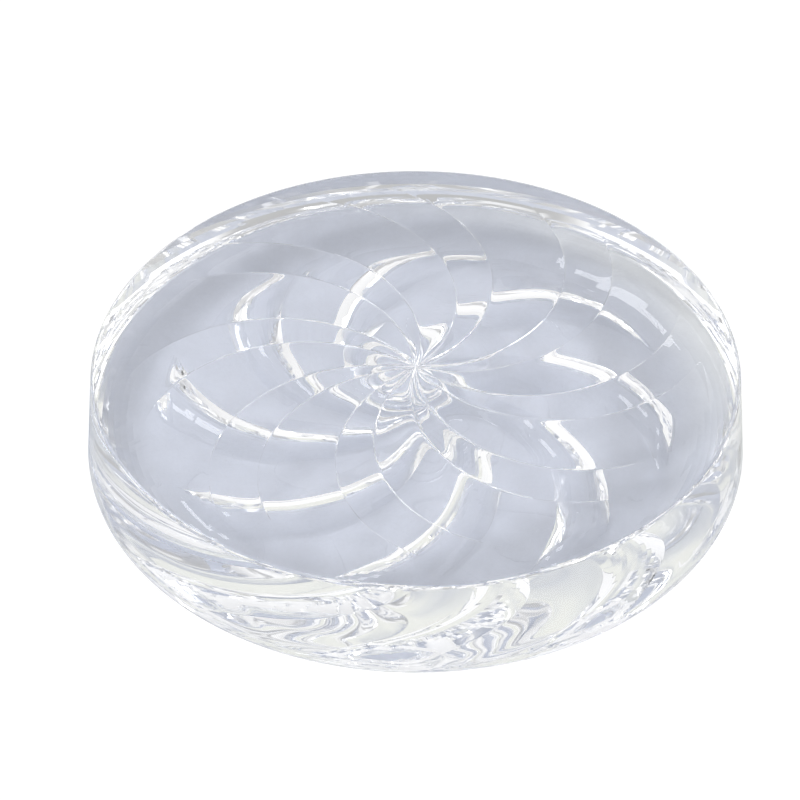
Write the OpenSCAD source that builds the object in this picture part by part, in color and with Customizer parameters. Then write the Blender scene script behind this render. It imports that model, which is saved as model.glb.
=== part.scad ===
// Round clear-glass disc for a flower arrangement. One solid of glass with a flat
// top, a smooth upright wall, a rounded foot and a swirl of paired grooves in each
// face. Each groove is an arc of a circle that passes through the middle of its face.
// The grooves run outward anticlockwise on the top, and clockwise on the underside as
// seen from above. Millimetres. The origin is the middle of the resting face, +Z is up.

/* [Disc] */
// Width of the disc at its widest, low on the wall
disc_d = 110; // [100:1:130]
// Width of the top, out to its edge
top_d = 108; // [98:1:128]
// Width of the flat part of the underside
flat_d = 88; // [80:1:92]
// Height of the disc
disc_h = 22; // [18:0.5:30]
// Radius of the long curve that leads from the underside to the foot
sweep_r = 16; // [12:0.5:17]
// Radius of the foot, between the long curve and the wall
foot_r = 4; // [3:0.5:5]
// Radius that breaks the upper edge
rim_r = 0.8; // [0.4:0.1:1.5]

/* [Top swirl] */
// Number of groove pairs in the top
top_pairs = 8; // [5:1:8]
// Angle between the two grooves of a pair
pair_angle = 18; // [18:1:20]
// Radius of the arc that each top groove follows
top_arc_r = 27; // [26:0.5:28]
// Depth of a top groove where it leaves the middle
top_depth = 0.4; // [0.25:0.05:0.4]
// Radius of the rounded bottom of a top groove
top_cut_r = 0.8; // [0.5:0.1:0.8]
// Distance from the middle at which a top groove has run out
top_reach = 46; // [40:1:48]

/* [Underside swirl] */
// Number of groove pairs in the underside
base_pairs = 8; // [5:1:8]
// Angle between the two grooves of a pair
base_pair_angle = 18; // [18:1:20]
// Radius of the arc that each underside groove follows
base_arc_r = 24; // [23:0.5:25]
// Depth of an underside groove where it leaves the middle
base_depth = 0.5; // [0.25:0.05:0.5]
// Radius of the rounded bottom of an underside groove
base_cut_r = 0.8; // [0.5:0.1:0.8]
// Distance from the middle at which an underside groove has run out
base_reach = 42; // [36:1:43]

/* [Hidden] */
$fn = 96;

disc_r = disc_d / 2;
top_r = top_d / 2;
flat_r = flat_d / 2;
// The foot's centre, placed so that its arc runs smoothly into the long curve and the wall
foot_x = disc_r - foot_r;
foot_z = sweep_r - sqrt(pow(sweep_r - foot_r, 2) - pow(foot_x - flat_r, 2));
// The point where the long curve meets the foot
join_x = flat_r + (foot_x - flat_r) * sweep_r / (sweep_r - foot_r);
join_z = sweep_r - (sweep_r - foot_z) * sweep_r / (sweep_r - foot_r);
// Hollow in the middle of each face, where the grooves start
hollow_r = 5.5;
hollow_extra = 0.1;
// How far inside the hollow a groove starts
overlap = 1;
// Sweep of a whole groove, a little under half a circle
groove_sweep = 175;
// Turn of each swirl about the disc's axis
top_turn = -13.5;
base_turn = -16;

// Half of the disc's outline, from the axis to the wall
module outline() {
    polygon([
        [0, 0],
        [flat_r, 0],
        [join_x, join_z],
        [disc_r, foot_z],
        [top_r, disc_h - rim_r],
        [top_r - rim_r, disc_h],
        [0, disc_h]
    ]);
    intersection() {
        translate([flat_r, sweep_r]) circle(r = sweep_r);
        polygon([[flat_r, sweep_r], [flat_r, 0], [join_x, 0], [join_x, join_z]]);
    }
    translate([foot_x, foot_z]) circle(r = foot_r);
    translate([top_r - rim_r, disc_h - rim_r]) circle(r = rim_r);
}

// One groove cutter for a face at height 0. It follows a circle through the middle of
// the face, and is tilted so that it leaves the glass at the distance reach.
module groove(arc_r, cut_r, depth, reach) {
    start = 2 * asin((hollow_r - overlap) / (2 * arc_r));
    rotate([0, -atan(depth / reach), 0])
        translate([arc_r, 0, cut_r - depth])
            rotate([0, 0, 180 + start])
                rotate_extrude(angle = groove_sweep - start)
                    translate([arc_r, 0]) circle(r = cut_r);
}

// The round hollow that the grooves of a face start from
module hollow(depth) {
    translate([0, 0, -depth - hollow_extra]) cylinder(r = hollow_r, h = disc_h);
}

// All that is cut out of the top
module top_swirl() {
    for (i = [0 : top_pairs - 1], j = [0, 1])
        rotate([0, 0, top_turn + i * 360 / top_pairs + j * pair_angle])
            groove(top_arc_r, top_cut_r, top_depth, top_reach);
    hollow(top_depth);
}

// All that is cut out of the underside, drawn as a top and turned over where it is used
module base_swirl() {
    for (i = [0 : base_pairs - 1], j = [0, 1])
        rotate([0, 0, base_turn + i * 360 / base_pairs + j * base_pair_angle])
            groove(base_arc_r, base_cut_r, base_depth, base_reach);
    hollow(base_depth);
}

module glass_disc() {
    color([0.86, 0.9, 0.93, 0.35])
        difference() {
            rotate_extrude() outline();
            translate([0, 0, disc_h]) top_swirl();
            rotate([180, 0, 0]) base_swirl();
        }
}

glass_disc();
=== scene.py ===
"""Solid clear-glass disc for flower arranging, with a pressed swirl in each face.

The disc is one closed mesh. Its plain blank is made ring by ring, and a Geometry
Nodes tree bends the blank's columns into the swirls and presses the creases into
both faces. Everything is in metres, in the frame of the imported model.
"""
import logging
import math
from dataclasses import dataclass, field
from enum import Enum
from typing import Union

import bpy
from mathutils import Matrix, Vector


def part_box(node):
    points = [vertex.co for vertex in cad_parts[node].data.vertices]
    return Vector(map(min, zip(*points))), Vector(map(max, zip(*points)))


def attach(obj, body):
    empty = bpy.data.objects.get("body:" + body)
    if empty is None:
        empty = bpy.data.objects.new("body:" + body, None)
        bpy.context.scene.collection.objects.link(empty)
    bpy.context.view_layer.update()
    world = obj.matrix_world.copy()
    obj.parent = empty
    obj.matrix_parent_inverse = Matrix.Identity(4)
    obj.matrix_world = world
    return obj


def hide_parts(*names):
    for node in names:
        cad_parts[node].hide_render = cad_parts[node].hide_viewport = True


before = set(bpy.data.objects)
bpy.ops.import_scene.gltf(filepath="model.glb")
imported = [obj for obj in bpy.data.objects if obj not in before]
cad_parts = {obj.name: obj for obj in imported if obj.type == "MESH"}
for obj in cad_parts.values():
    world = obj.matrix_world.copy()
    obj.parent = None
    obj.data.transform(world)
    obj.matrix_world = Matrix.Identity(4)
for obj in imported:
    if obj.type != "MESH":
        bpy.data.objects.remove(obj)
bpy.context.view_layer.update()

LOG = logging.getLogger("glass_disc")
MM = 0.001
STEEPEST_SINE = 0.985
STORED = ("radius", "height", "low_angle", "high_angle", "share", "zone", "across", "narrow")
Colour = tuple[float, float, float, float]
Value = Union[float, bpy.types.NodeSocket]


class Way(Enum):
    """The way that a swirl curls as it runs outward, seen from above."""

    ANTICLOCKWISE = 1.0
    CLOCKWISE = -1.0


class Zone(Enum):
    """The part of the disc that a ring of the blank belongs to."""

    UNDERSIDE = -1.0
    WALL = 0.0
    TOP = 1.0


class Rule:
    """Writer of math nodes in one node tree."""

    def __init__(self, tree: bpy.types.NodeTree) -> None:
        """Keep the tree that the nodes go into.

        Args:
            tree: A shader or geometry node tree.
        """
        self.tree = tree

    def join(self, value: Value, socket: bpy.types.NodeSocket) -> None:
        """Put a number or another node's output into a socket.

        Args:
            value: The number or output.
            socket: The input socket that takes it.
        """
        if isinstance(value, bpy.types.NodeSocket):
            self.tree.links.new(value, socket)
        else:
            socket.default_value = value

    def math(self, operation: str, *values: Value, clamp: bool = False) -> bpy.types.NodeSocket:
        """Add one math node.

        Args:
            operation: The node's operation.
            *values: Its inputs, in order.
            clamp: Whether the result is kept between 0 and 1.

        Returns:
            The node's output.
        """
        node = self.tree.nodes.new("ShaderNodeMath")
        node.operation = operation
        node.use_clamp = clamp
        for value, socket in zip(values, node.inputs):
            self.join(value, socket)
        return node.outputs[0]

    def spread(self, value: Value, low: Value, high: Value, to_low: Value = 0.0, to_high: Value = 1.0,
               soft: bool = True) -> bpy.types.NodeSocket:
        """Map a value from one range to another.

        Args:
            value: What is mapped.
            low: Start of the range that it comes from.
            high: End of the range that it comes from.
            to_low: Start of the range that it goes to.
            to_high: End of the range that it goes to.
            soft: Whether it eases in and out.

        Returns:
            The mapped value.
        """
        node = self.tree.nodes.new("ShaderNodeMapRange")
        node.interpolation_type = "SMOOTHSTEP" if soft else "LINEAR"
        node.clamp = True
        for item, name in ((value, "Value"), (low, "From Min"), (high, "From Max"),
                           (to_low, "To Min"), (to_high, "To Max")):
            self.join(item, node.inputs[name])
        return node.outputs["Result"]

    def between(self, first: Value, second: Value, share: Value) -> bpy.types.NodeSocket:
        """Mix two values.

        Args:
            first: The value at share 0.
            second: The value at share 1.
            share: How far to go from the first to the second.

        Returns:
            The mix.
        """
        return self.math("MULTIPLY_ADD", self.math("SUBTRACT", second, first), share, first)


@dataclass(frozen=True)
class Swirl:
    """Paired creases that run out along arcs of circles through the middle of a face.

    Angles are in degrees. The glass between two creases is a lobe, and each pair has a
    wide lobe and a narrow one. A narrow lobe with a negative rise is a hollow flute.
    """

    zone: Zone
    way: Way
    turn: float
    arc: float
    pair_angle: float
    depth: float
    narrow_rise: float
    crown: float
    start: float
    full_until: float
    gone_by: float
    pairs: int = 8
    wide_share: float = 0.6

    def columns(self, steps: int) -> list[tuple[float, float, float]]:
        """Place the columns of one whole turn, closest together at the creases.

        Args:
            steps: Columns to one pair of creases.

        Returns:
            For each column its angle, its place across its lobe from 0 to 1, and
            1.0 where the lobe is the narrow one of its pair.
        """
        period = 2 * math.pi / self.pairs
        narrow = math.radians(self.pair_angle)
        wide_steps = round(steps * self.wide_share)
        lobes = ((0.0, period - narrow, wide_steps, 0.0),
                 (period - narrow, narrow, steps - wide_steps, 1.0))
        placed = []
        for pair in range(self.pairs):
            for offset, width, count, kind in lobes:
                for step in range(count):
                    across = 0.5 - 0.5 * math.cos(math.pi * step / count)
                    placed.append((pair * period + offset + width * across, across, kind))
        return placed

    def lag(self, radius: float) -> float:
        """Return the angle that a crease has turned through at a radius, in radians."""
        return self.way.value * math.asin(min(radius / (2 * self.arc), STEEPEST_SINE))

    @property
    def label(self) -> str:
        """Return the words that start the names of this swirl's inputs."""
        return "Top" if self.zone is Zone.TOP else "Underside"

    def settings(self) -> dict[str, float]:
        """List the values of the tree's named inputs for this swirl.

        Returns:
            Each input's name and value.
        """
        return {
            f"{self.label} arc radius": self.arc,
            f"{self.label} turn": math.radians(self.turn),
            f"{self.label} crease depth": self.depth,
            f"{self.label} narrow lobe rise": self.narrow_rise,
            f"{self.label} crown power": self.crown,
            f"{self.label} start radius": self.start,
            f"{self.label} full until": self.full_until,
            f"{self.label} gone by": self.gone_by,
        }


@dataclass(frozen=True)
class SoftMottle:
    """Shader node group with a soft uneven value and a fine height, for glass and cloth."""

    name: str = "soft_mottle"
    broad_detail: float = 3.0
    fine_detail: float = 2.0
    fine_times: float = 9.0
    faint: float = 0.35
    strong: float = 0.65

    def group(self) -> bpy.types.NodeTree:
        """Build the group once.

        Returns:
            The group, with the outputs Value and Height.
        """
        found = bpy.data.node_groups.get(self.name)
        if found:
            return found
        tree = bpy.data.node_groups.new(self.name, "ShaderNodeTree")
        for label, start in (("Scale", 60.0), ("Low", 0.0), ("High", 1.0), ("Fine", 0.5)):
            socket = tree.interface.new_socket(label, in_out="INPUT", socket_type="NodeSocketFloat")
            socket.default_value = start
        for label in ("Value", "Height"):
            tree.interface.new_socket(label, in_out="OUTPUT", socket_type="NodeSocketFloat")
        rule = Rule(tree)
        enter = tree.nodes.new("NodeGroupInput")
        leave = tree.nodes.new("NodeGroupOutput")
        place = tree.nodes.new("ShaderNodeTexCoord")
        broad = tree.nodes.new("ShaderNodeTexNoise")
        broad.inputs["Detail"].default_value = self.broad_detail
        fine = tree.nodes.new("ShaderNodeTexNoise")
        fine.inputs["Detail"].default_value = self.fine_detail
        for node, times in ((broad, 1.0), (fine, self.fine_times)):
            tree.links.new(place.outputs["Object"], node.inputs["Vector"])
            rule.join(rule.math("MULTIPLY", enter.outputs["Scale"], times), node.inputs["Scale"])
        blend = rule.between(broad.outputs["Fac"], fine.outputs["Fac"], enter.outputs["Fine"])
        mottle = rule.spread(blend, self.faint, self.strong, enter.outputs["Low"], enter.outputs["High"])
        rule.join(mottle, leave.inputs["Value"])
        rule.join(blend, leave.inputs["Height"])
        return tree

    def place(self, tree: bpy.types.NodeTree, **values: float) -> bpy.types.Node:
        """Put the group into a material.

        Args:
            tree: The material's node tree.
            **values: Values for the group's inputs.

        Returns:
            The group's node.
        """
        node = tree.nodes.new("ShaderNodeGroup")
        node.node_tree = self.group()
        for label, value in values.items():
            node.inputs[label].default_value = value
        return node


@dataclass(frozen=True)
class ClearGlass:
    """Colourless fire-polished glass with very light handling marks."""

    name: str = "clear_glass"
    colour: Colour = (0.985, 0.99, 1.0, 1.0)
    ior: float = 1.52
    smooth: float = 0.0
    marked: float = 0.03
    marks_scale: float = 45.0
    marks_fine: float = 0.35
    ripple: float = 0.004 * MM

    def material(self) -> bpy.types.Material:
        """Build the finish.

        Returns:
            The glass material.
        """
        glass = bpy.data.materials.new(self.name)
        glass.use_nodes = True
        tree = glass.node_tree
        rule = Rule(tree)
        shader = tree.nodes["Principled BSDF"]
        shader.inputs["Base Color"].default_value = self.colour
        shader.inputs["Metallic"].default_value = 0.0
        shader.inputs["IOR"].default_value = self.ior
        shader.inputs["Transmission Weight"].default_value = 1.0
        marks = SoftMottle().place(tree, Scale=self.marks_scale, Low=self.smooth, High=self.marked,
                                   Fine=self.marks_fine)
        rule.join(marks.outputs["Value"], shader.inputs["Roughness"])
        bump = tree.nodes.new("ShaderNodeBump")
        bump.inputs["Strength"].default_value = 1.0
        bump.inputs["Distance"].default_value = self.ripple
        rule.join(marks.outputs["Height"], bump.inputs["Height"])
        rule.join(bump.outputs["Normal"], shader.inputs["Normal"])
        return glass


@dataclass
class GlassDisc:
    """The disc: a closed solid of glass with a swirl in its top and in its underside.

    The outline is a flat underside, a long curve (sweep) up to a small radius (foot), a
    slightly leaning wall and a broken upper edge (rim). The mesh has steps columns to
    each pair of creases, and creases that turn by more than sharp_over degrees stay
    crisp.
    """

    top_swirl: Swirl
    under_swirl: Swirl
    radius: float
    height: float
    glass: ClearGlass = field(default_factory=ClearGlass)
    top_radius: float = 54.0 * MM
    flat_radius: float = 44.0 * MM
    sweep: float = 16.0 * MM
    foot: float = 4.0 * MM
    rim: float = 0.8 * MM
    steps: int = 48
    top_rings: int = 104
    under_rings: int = 88
    sweep_steps: int = 9
    foot_steps: int = 10
    wall_steps: int = 8
    rim_steps: int = 6
    sharp_over: float = 2.5
    under_offset: float = 2.0 * MM
    offset_fades_from: float = 0.86

    def wall_outline(self) -> list[tuple[float, float]]:
        """Follow the outline from the edge of the flat underside to the edge of the top.

        Returns:
            Radius and height of each ring of the wall.
        """
        foot_x = self.radius - self.foot
        foot_z = self.sweep - math.sqrt((self.sweep - self.foot) ** 2 - (foot_x - self.flat_radius) ** 2)
        joint = math.atan2(foot_x - self.flat_radius, self.sweep - foot_z)
        rings = []
        for step in range(1, self.sweep_steps + 1):
            angle = joint * step / self.sweep_steps
            rings.append((self.flat_radius + self.sweep * math.sin(angle),
                          self.sweep - self.sweep * math.cos(angle)))
        for step in range(1, self.foot_steps + 1):
            angle = joint + (math.pi / 2 - joint) * step / self.foot_steps
            rings.append((foot_x + self.foot * math.sin(angle), foot_z - self.foot * math.cos(angle)))
        for step in range(1, self.wall_steps + 1):
            share = step / self.wall_steps
            rings.append((self.radius + (self.top_radius - self.radius) * share,
                          foot_z + (self.height - self.rim - foot_z) * share))
        for step in range(1, self.rim_steps):
            angle = math.pi / 2 * step / self.rim_steps
            rings.append((self.top_radius - self.rim * (1 - math.cos(angle)),
                          self.height - self.rim * (1 - math.sin(angle))))
        return rings

    def rings(self) -> list[tuple[float, float, Zone, float]]:
        """List every ring of the blank from the middle of the underside round to the middle of the top.

        Returns:
            For each ring its radius, height, zone, and its share of the way from the
            underside's columns to the top's.
        """
        listed = [(self.flat_radius * step / self.under_rings, 0.0, Zone.UNDERSIDE, 0.0)
                  for step in range(1, self.under_rings + 1)]
        wall = self.wall_outline()
        listed += [(radius, height, Zone.WALL, (place + 1) / (len(wall) + 1))
                   for place, (radius, height) in enumerate(wall)]
        flat_top = self.top_radius - self.rim
        listed += [(flat_top * step / self.top_rings, self.height, Zone.TOP, 1.0)
                   for step in range(self.top_rings, 0, -1)]
        return listed

    def blank(self) -> bpy.types.Object:
        """Make the plain disc, with what the tree needs to know stored on its points.

        Returns:
            The blank, a closed mesh.
        """
        low = self.under_swirl.columns(self.steps)
        high = self.top_swirl.columns(self.steps)
        count = len(high)
        lean = (math.radians(self.top_swirl.turn - self.under_swirl.turn)
                + self.top_swirl.lag(self.top_radius) - self.under_swirl.lag(self.flat_radius))
        shift = round(lean / (2 * math.pi) * count)
        points = [(0.0, 0.0, 0.0)]
        facts = [(0.0, 0.0, 0.0, 0.0, 0.0, Zone.UNDERSIDE.value, 0.0, 0.0)]
        for radius, height, zone, share in self.rings():
            for column in range(count):
                other = (column - shift) % count
                low_angle, low_across, low_kind = low[column]
                high_angle, high_across, high_kind = high[other]
                high_angle += 2 * math.pi * ((column - shift) // count)
                across, kind = (high_across, high_kind) if zone is Zone.TOP else (low_across, low_kind)
                points.append((radius * math.cos(low_angle), radius * math.sin(low_angle), height))
                facts.append((radius, height, low_angle, high_angle, share, zone.value, across, kind))
        points.append((0.0, 0.0, self.height))
        facts.append((0.0, self.height, 0.0, 0.0, 1.0, Zone.TOP.value, 0.0, 0.0))
        last = len(points) - 1
        faces = [(0, 1 + (column + 1) % count, 1 + column) for column in range(count)]
        ring_count = (last - 1) // count
        for ring in range(ring_count - 1):
            near = 1 + ring * count
            for column in range(count):
                along = (column + 1) % count
                faces.append((near + column, near + along, near + count + along, near + count + column))
        near = 1 + (ring_count - 1) * count
        faces += [(near + column, near + (column + 1) % count, last) for column in range(count)]
        mesh = bpy.data.meshes.new("disc_blank")
        mesh.from_pydata(points, [], faces)
        for place, name in enumerate(STORED):
            layer = mesh.attributes.new(name, "FLOAT", "POINT")
            layer.data.foreach_set("value", [fact[place] for fact in facts])
        mesh.update()
        made = bpy.data.objects.new("disc_blank", mesh)
        bpy.context.scene.collection.objects.link(made)
        return made

    def tree(self) -> bpy.types.NodeTree:
        """Build the Geometry Nodes tree that presses both swirls into the blank.

        Returns:
            The tree, with a named input for each size.
        """
        tree = bpy.data.node_groups.new("pressed_swirls", "GeometryNodeTree")
        tree.interface.new_socket("Geometry", in_out="INPUT", socket_type="NodeSocketGeometry")
        sizes = {"Flat radius": self.flat_radius, "Top radius": self.top_radius,
                 "Underside offset": self.under_offset, "Offset fades from": self.offset_fades_from,
                 "Sharp over": math.radians(self.sharp_over)}
        for swirl in (self.top_swirl, self.under_swirl):
            sizes.update(swirl.settings())
        for label, value in sizes.items():
            socket = tree.interface.new_socket(label, in_out="INPUT", socket_type="NodeSocketFloat")
            socket.default_value = value
        tree.interface.new_socket("Finish", in_out="INPUT", socket_type="NodeSocketMaterial")
        tree.interface.new_socket("Geometry", in_out="OUTPUT", socket_type="NodeSocketGeometry")
        rule = Rule(tree)
        enter = tree.nodes.new("NodeGroupInput")
        leave = tree.nodes.new("NodeGroupOutput")
        size = enter.outputs

        def fact(name: str) -> bpy.types.NodeSocket:
            """Read one of the blank's stored values.

            Args:
                name: The value's name.

            Returns:
                The value at each point.
            """
            node = tree.nodes.new("GeometryNodeInputNamedAttribute")
            node.data_type = "FLOAT"
            node.inputs["Name"].default_value = name
            return node.outputs["Attribute"]

        radius, across, narrow = fact("radius"), fact("across"), fact("narrow")

        def turned(swirl: Swirl, column: bpy.types.NodeSocket,
                   limit: bpy.types.NodeSocket) -> bpy.types.NodeSocket:
            """Bend a column along its swirl's arc.

            Args:
                swirl: The swirl that the column belongs to.
                column: The angle at which the column starts in the middle.
                limit: The radius past which the column bends no further.

            Returns:
                The angle at which the column lies at its radius.
            """
            reach = rule.math("DIVIDE", rule.math("MINIMUM", radius, limit),
                              rule.math("MULTIPLY", size[f"{swirl.label} arc radius"], 2.0))
            lag = rule.math("ARCSINE", rule.math("MINIMUM", reach, STEEPEST_SINE))
            return rule.math("ADD", rule.math("ADD", column, size[f"{swirl.label} turn"]),
                             rule.math("MULTIPLY", lag, swirl.way.value))

        def pressed(swirl: Swirl) -> bpy.types.NodeSocket:
            """Shape the lobes of a swirl.

            Args:
                swirl: The swirl.

            Returns:
                How far the glass is pressed in from the plain face.
            """
            name = swirl.label
            arch = rule.math("ABSOLUTE", rule.math("SINE", rule.math("MULTIPLY", across, math.pi)))
            curve = rule.math("POWER", arch, size[f"{name} crown power"])
            rise = rule.between(size[f"{name} crease depth"], size[f"{name} narrow lobe rise"], narrow)
            drop = rule.math("SUBTRACT", size[f"{name} crease depth"], rule.math("MULTIPLY", rise, curve))
            near = rule.math("DIVIDE", radius, size[f"{name} start radius"], clamp=True)
            far = rule.spread(radius, size[f"{name} full until"], size[f"{name} gone by"], 1.0, 0.0)
            return rule.math("MULTIPLY", rule.math("MULTIPLY", drop, near), far)

        share = rule.spread(fact("share"), 0.0, 1.0)
        angle = rule.between(turned(self.under_swirl, fact("low_angle"), size["Flat radius"]),
                             turned(self.top_swirl, fact("high_angle"), size["Top radius"]), share)
        zone = fact("zone")
        below = rule.math("LESS_THAN", zone, Zone.UNDERSIDE.value / 2)
        above = rule.math("GREATER_THAN", zone, Zone.TOP.value / 2)
        lift = rule.math("MULTIPLY", pressed(self.under_swirl), below)
        sink = rule.math("MULTIPLY", pressed(self.top_swirl), above)
        height = rule.math("SUBTRACT", rule.math("ADD", fact("height"), lift), sink)
        place = tree.nodes.new("ShaderNodeCombineXYZ")
        rule.join(rule.math("MULTIPLY", radius, rule.math("COSINE", angle)), place.inputs["X"])
        centring = rule.spread(rule.math("DIVIDE", radius, size["Flat radius"]), size["Offset fades from"],
                               1.0, 1.0, 0.0)
        aside = rule.math("MULTIPLY", rule.math("MULTIPLY", size["Underside offset"], below), centring)
        plain = rule.math("MULTIPLY", radius, rule.math("SINE", angle))
        rule.join(rule.math("ADD", plain, aside), place.inputs["Y"])
        rule.join(height, place.inputs["Z"])
        move = tree.nodes.new("GeometryNodeSetPosition")
        rule.join(size["Geometry"], move.inputs["Geometry"])
        rule.join(place.outputs["Vector"], move.inputs["Position"])
        smooth = tree.nodes.new("GeometryNodeSetShadeSmooth")
        smooth.domain = "FACE"
        rule.join(move.outputs["Geometry"], smooth.inputs["Geometry"])
        edge = tree.nodes.new("GeometryNodeInputMeshEdgeAngle")
        crease = tree.nodes.new("GeometryNodeSetShadeSmooth")
        crease.domain = "EDGE"
        crease.inputs["Shade Smooth"].default_value = False
        rule.join(smooth.outputs["Geometry"], crease.inputs["Geometry"])
        rule.join(rule.math("GREATER_THAN", edge.outputs["Unsigned Angle"], size["Sharp over"]),
                  crease.inputs["Selection"])
        real = tree.nodes.new("GeometryNodeRealizeInstances")
        rule.join(crease.outputs["Geometry"], real.inputs["Geometry"])
        finish = tree.nodes.new("GeometryNodeSetMaterial")
        rule.join(real.outputs["Geometry"], finish.inputs["Geometry"])
        rule.join(size["Finish"], finish.inputs["Material"])
        rule.join(finish.outputs["Geometry"], leave.inputs["Geometry"])
        return tree

    def build(self) -> bpy.types.Object:
        """Press the swirls into the blank and dress the disc in glass.

        Returns:
            The finished disc, a plain mesh piece.
        """
        blank = self.blank()
        tree = self.tree()
        glass = self.glass.material()
        press = blank.modifiers.new("press", "NODES")
        press.node_group = tree
        for item in tree.interface.items_tree:
            if item.item_type == "SOCKET" and item.in_out == "INPUT" and item.name == "Finish":
                press[item.identifier] = glass
            elif item.item_type == "SOCKET" and item.in_out == "INPUT" and item.name != "Geometry":
                press[item.identifier] = item.default_value
        bpy.context.view_layer.update()
        graph = bpy.context.evaluated_depsgraph_get()
        mesh = bpy.data.meshes.new_from_object(blank.evaluated_get(graph), depsgraph=graph)
        blank.modifiers.remove(press)
        bpy.data.objects.remove(blank)
        for name in STORED:
            layer = mesh.attributes.get(name)
            if layer:
                mesh.attributes.remove(layer)
        mesh.name = "swirl_disc"
        disc = bpy.data.objects.new("swirl_disc", mesh)
        bpy.context.scene.collection.objects.link(disc)
        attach(disc, "root")
        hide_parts("glass_disc")
        return disc


@dataclass(frozen=True)
class TableCloth:
    """Matt floor: plain white to the camera, and a cloth where it is seen through glass.

    The cloth is blue-grey linen under the disc and in front of it, and a paler cloth
    behind, also brighter there as painted light where the disc's shade ends. A soft painted contact shadow
    lies round the disc, darker on the left. From below the floor is clear.
    """

    name: str = "table_cloth"
    white: Colour = (0.25, 0.25, 0.25, 1.0)
    glow: float = 0.82
    linen: Colour = (0.505, 0.53, 0.60, 1.0)
    # Paler cloth behind the disc, partly its own tone and partly painted light past the disc's shade.
    pale_lit_cloth: Colour = (0.72, 0.725, 0.68, 1.0)
    weave_scale: float = 250.0
    weave_low: float = 0.97
    weave_high: float = 1.03
    weave_fine: float = 0.5
    even_light: float = 0.22
    shadow: float = 0.82
    # Shift of the painted contact shadow's centre, so it falls darker on the left and lighter on the
    # right.
    offset: tuple[float, float, float] = (7.0 * MM, -4.0 * MM, 0.0)
    linen_until: float = 36.0 * MM
    shadow_from: float = 43.0 * MM
    shadow_until: float = 49.0 * MM
    beyond_from: float = 66.0 * MM
    cloth_from: float = -30.0 * MM
    cloth_until: float = 25.0 * MM

    def woven_and_shaded(self, tree: bpy.types.NodeTree) -> bpy.types.NodeSocket:
        """Colour the cloth by its place: painted light past the disc's shade, a painted contact shadow and
        a faint weave.

        Args:
            tree: The floor material's node tree.

        Returns:
            The cloth's colour.
        """
        rule = Rule(tree)
        place = tree.nodes.new("ShaderNodeTexCoord")
        moved = tree.nodes.new("ShaderNodeVectorMath")
        moved.operation = "ADD"
        moved.inputs[1].default_value = self.offset
        rule.join(place.outputs["Object"], moved.inputs[0])
        away = tree.nodes.new("ShaderNodeVectorMath")
        away.operation = "LENGTH"
        rule.join(moved.outputs["Vector"], away.inputs[0])
        distance = away.outputs["Value"]
        weave = SoftMottle().place(tree, Scale=self.weave_scale, Low=self.weave_low, High=self.weave_high,
                                   Fine=self.weave_fine)
        depth = tree.nodes.new("ShaderNodeSeparateXYZ")
        rule.join(place.outputs["Object"], depth.inputs[0])
        behind = rule.spread(depth.outputs["Y"], self.cloth_from, self.cloth_until)
        # Mask for the painted light past the disc's shade, on the back side only.
        out_of_disc_shade = rule.spread(distance, self.shadow_until, self.beyond_from)
        shade = tree.nodes.new("ShaderNodeMix")
        shade.data_type = "RGBA"
        rule.join(rule.math("MULTIPLY", behind, out_of_disc_shade), shade.inputs[0])
        # A colour mix has its two colours in sockets 6 and 7, and its result in output 2.
        shade.inputs[6].default_value = self.linen
        shade.inputs[7].default_value = self.pale_lit_cloth
        dark = rule.spread(distance, self.linen_until, self.shadow_from, 1.0, self.shadow)
        light = rule.spread(distance, self.shadow_until, self.beyond_from, 0.0, 1.0 - self.shadow)
        # The cloth colour times the weave and the painted contact shadow.
        woven_shaded_colour = tree.nodes.new("ShaderNodeVectorMath")
        woven_shaded_colour.operation = "SCALE"
        rule.join(shade.outputs[2], woven_shaded_colour.inputs[0])
        rule.join(rule.math("MULTIPLY", weave.outputs["Value"], rule.math("ADD", dark, light)),
                  woven_shaded_colour.inputs["Scale"])
        return woven_shaded_colour.outputs[0]

    def material(self) -> bpy.types.Material:
        """Build the finish.

        Returns:
            The floor material.
        """
        cloth = bpy.data.materials.new(self.name)
        cloth.use_nodes = True
        tree = cloth.node_tree
        rule = Rule(tree)
        seen = tree.nodes["Principled BSDF"]
        under = tree.nodes.new("ShaderNodeBsdfPrincipled")
        seen.inputs["Base Color"].default_value = self.white
        seen.inputs["Emission Color"].default_value = (1.0, 1.0, 1.0, 1.0)
        seen.inputs["Emission Strength"].default_value = self.glow
        for shader in (seen, under):
            shader.inputs["Roughness"].default_value = 1.0
            shader.inputs["Specular IOR Level"].default_value = 0.0
        colour = self.woven_and_shaded(tree)
        rule.join(colour, under.inputs["Base Color"])
        rule.join(colour, under.inputs["Emission Color"])
        under.inputs["Emission Strength"].default_value = self.even_light
        path = tree.nodes.new("ShaderNodeLightPath")
        either = tree.nodes.new("ShaderNodeMixShader")
        rule.join(path.outputs["Is Camera Ray"], either.inputs[0])
        rule.join(under.outputs[0], either.inputs[1])
        rule.join(seen.outputs[0], either.inputs[2])
        side = tree.nodes.new("ShaderNodeNewGeometry")
        clear = tree.nodes.new("ShaderNodeBsdfTransparent")
        one_sided = tree.nodes.new("ShaderNodeMixShader")
        rule.join(side.outputs["Backfacing"], one_sided.inputs[0])
        rule.join(either.outputs[0], one_sided.inputs[1])
        rule.join(clear.outputs[0], one_sided.inputs[2])
        rule.join(one_sided.outputs[0], tree.nodes["Material Output"].inputs["Surface"])
        return cloth


@dataclass(frozen=True)
class SoftPanel:
    """A soft bright patch in the sky, with its place and size in degrees."""

    azimuth: float
    rise: float
    half_width: float
    glow: float


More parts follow.
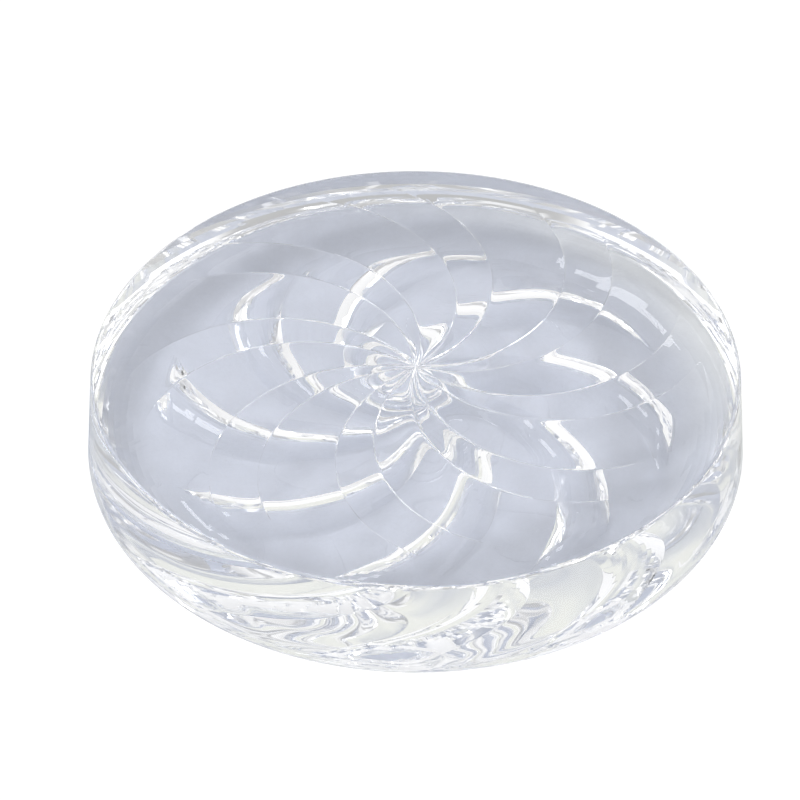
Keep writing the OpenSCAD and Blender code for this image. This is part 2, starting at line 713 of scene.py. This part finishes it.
@dataclass
class Studio:
    """Floor, soft light and camera. Angles are in degrees."""

    cloth: TableCloth = field(default_factory=TableCloth)
    floor_radius: float = 3.0
    floor_drop: float = 0.3 * MM
    floor_steps: int = 128
    panels: tuple[SoftPanel, ...] = (SoftPanel(azimuth=345.0, rise=8.0, half_width=36.0, glow=0.9),
                                     SoftPanel(azimuth=205.0, rise=8.0, half_width=34.0, glow=0.7))
    panel_core: float = 0.6
    sky_bright: float = 1.05
    sky_dim: float = 0.48
    sky_azimuth: float = 95.0
    sky_reach: float = 0.9
    lamp_power: float = 2.0
    lamp_size: float = 0.4
    lamp_distance: float = 1.0
    lamp_azimuth: float = 140.0
    lamp_height: float = 55.0
    distance: float = 0.756
    elevation: float = 40.3
    lens: float = 203.0
    sensor: float = 36.0
    aim_aside: float = -2.6 * MM
    aim_up: float = 2.9 * MM
    bounces: int = 32
    brightest_bounce: float = 10.0

    def floor(self) -> bpy.types.Object:
        """Lay the round floor just below the disc.

        Returns:
            The floor.
        """
        count = self.floor_steps
        points = [(0.0, 0.0, -self.floor_drop)]
        points += [(self.floor_radius * math.cos(2 * math.pi * step / count),
                    self.floor_radius * math.sin(2 * math.pi * step / count), -self.floor_drop)
                   for step in range(count)]
        faces = [(0, 1 + step, 1 + (step + 1) % count) for step in range(count)]
        mesh = bpy.data.meshes.new("floor")
        mesh.from_pydata(points, [], faces)
        mesh.materials.append(self.cloth.material())
        floor = bpy.data.objects.new("floor", mesh)
        bpy.context.scene.collection.objects.link(floor)
        return floor

    def sky(self) -> None:
        """Light the scene with a soft white sky, brighter behind, and its soft panels."""
        world = bpy.data.worlds.new("soft_sky")
        world.use_nodes = True
        tree = world.node_tree
        rule = Rule(tree)
        toward = tree.nodes.new("ShaderNodeTexCoord")

        def facing(azimuth: float, rise: float) -> bpy.types.NodeSocket:
            """Compare the directions of the sky with one direction.

            Args:
                azimuth: The direction's turn from +X, in degrees.
                rise: Its height over the horizon, in degrees.

            Returns:
                How closely each part of the sky faces it, from -1 to 1.
            """
            node = tree.nodes.new("ShaderNodeVectorMath")
            node.operation = "DOT_PRODUCT"
            turn, lift = math.radians(azimuth), math.radians(rise)
            node.inputs[1].default_value = (math.cos(turn) * math.cos(lift),
                                            math.sin(turn) * math.cos(lift), math.sin(lift))
            rule.join(toward.outputs["Generated"], node.inputs[0])
            return node.outputs["Value"]

        glow = rule.spread(facing(self.sky_azimuth, 0.0), -self.sky_reach, self.sky_reach,
                           self.sky_dim, self.sky_bright, soft=False)
        for panel in self.panels:
            edge = math.radians(panel.half_width)
            patch = rule.spread(facing(panel.azimuth, panel.rise), math.cos(edge),
                                math.cos(edge * self.panel_core), 0.0, panel.glow)
            glow = rule.math("ADD", glow, patch)
        rule.join(glow, tree.nodes["Background"].inputs["Strength"])
        tree.nodes["Background"].inputs["Color"].default_value = (1.0, 1.0, 1.0, 1.0)
        bpy.context.scene.world = world

    def lamp(self) -> bpy.types.Object:
        """Hang one round soft lamp that points at the disc.

        Returns:
            The lamp.
        """
        data = bpy.data.lights.new("soft_lamp", "AREA")
        data.shape = "DISK"
        data.size = self.lamp_size
        data.energy = self.lamp_power
        lamp = bpy.data.objects.new("soft_lamp", data)
        bpy.context.scene.collection.objects.link(lamp)
        turn, rise = math.radians(self.lamp_azimuth), math.radians(self.lamp_height)
        lamp.location = Vector((math.cos(rise) * math.cos(turn), math.cos(rise) * math.sin(turn),
                                math.sin(rise))) * self.lamp_distance
        lamp.rotation_euler = (-lamp.location).to_track_quat("-Z", "Y").to_euler()
        return lamp

    def camera(self, middle: Vector) -> bpy.types.Object:
        """Place the camera in front of the disc and above it.

        Args:
            middle: The middle of the object's box.

        Returns:
            The camera.
        """
        rise = math.radians(self.elevation)
        aim = middle + Vector((self.aim_aside, 0.0, 0.0))
        aim += Vector((0.0, math.sin(rise), math.cos(rise))) * self.aim_up
        data = bpy.data.cameras.new("camera")
        data.lens = self.lens
        data.sensor_width = self.sensor
        camera = bpy.data.objects.new("camera", data)
        bpy.context.scene.collection.objects.link(camera)
        camera.location = aim + Vector((0.0, -math.cos(rise), math.sin(rise))) * self.distance
        camera.rotation_euler = (aim - camera.location).to_track_quat("-Z", "Y").to_euler()
        bpy.context.scene.camera = camera
        return camera

    def rendering(self) -> None:
        """Let light pass through many glass faces, and keep plain colours plain."""
        scene = bpy.context.scene
        scene.cycles.max_bounces = self.bounces
        scene.cycles.transmission_bounces = self.bounces
        scene.cycles.glossy_bounces = self.bounces
        scene.cycles.caustics_refractive = True
        scene.cycles.caustics_reflective = True
        scene.cycles.sample_clamp_indirect = self.brightest_bounce
        scene.cycles.blur_glossy = 0.0
        scene.view_settings.view_transform = "Standard"

    def build(self, low: Vector, high: Vector) -> None:
        """Build the whole studio round the object.

        Args:
            low: Lowest corner of the object's box.
            high: Highest corner of the object's box.
        """
        self.floor()
        self.sky()
        self.lamp()
        self.camera((low + high) / 2)
        self.rendering()


def top_swirl() -> Swirl:
    """Size the swirl that is pressed into the top: crowned lobes that meet in fine creases.

    Returns:
        The top's swirl.
    """
    return Swirl(zone=Zone.TOP, way=Way.ANTICLOCKWISE, turn=3.0, arc=27.0 * MM, pair_angle=17.0,
                 depth=0.4 * MM, narrow_rise=0.28 * MM, crown=0.5, start=1.1 * MM,
                 full_until=38.0 * MM, gone_by=48.6 * MM)


def under_swirl() -> Swirl:
    """Size the swirl that is pressed into the underside: eight hollow flutes.

    Returns:
        The underside's swirl.
    """
    return Swirl(zone=Zone.UNDERSIDE, way=Way.CLOCKWISE, turn=19.0, arc=24.0 * MM, pair_angle=21.0,
                 depth=0.25 * MM, narrow_rise=-1.5 * MM, crown=0.95, start=2.7 * MM,
                 full_until=40.5 * MM, gone_by=44.0 * MM)


def main() -> None:
    """Build the disc and the studio, and report each piece."""
    logging.basicConfig(level=logging.INFO, format="%(name)s: %(message)s")
    low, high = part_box("glass_disc")
    disc = GlassDisc(top_swirl=top_swirl(), under_swirl=under_swirl(),
                     radius=(high[0] - low[0]) / 2, height=high[2] - low[2]).build()
    LOG.info("%s: %d faces", disc.name, len(disc.data.polygons))
    Studio().build(Vector(low), Vector(high))
    LOG.info("floor, lamp and camera are in place")


if __name__ == "__main__":
    main()
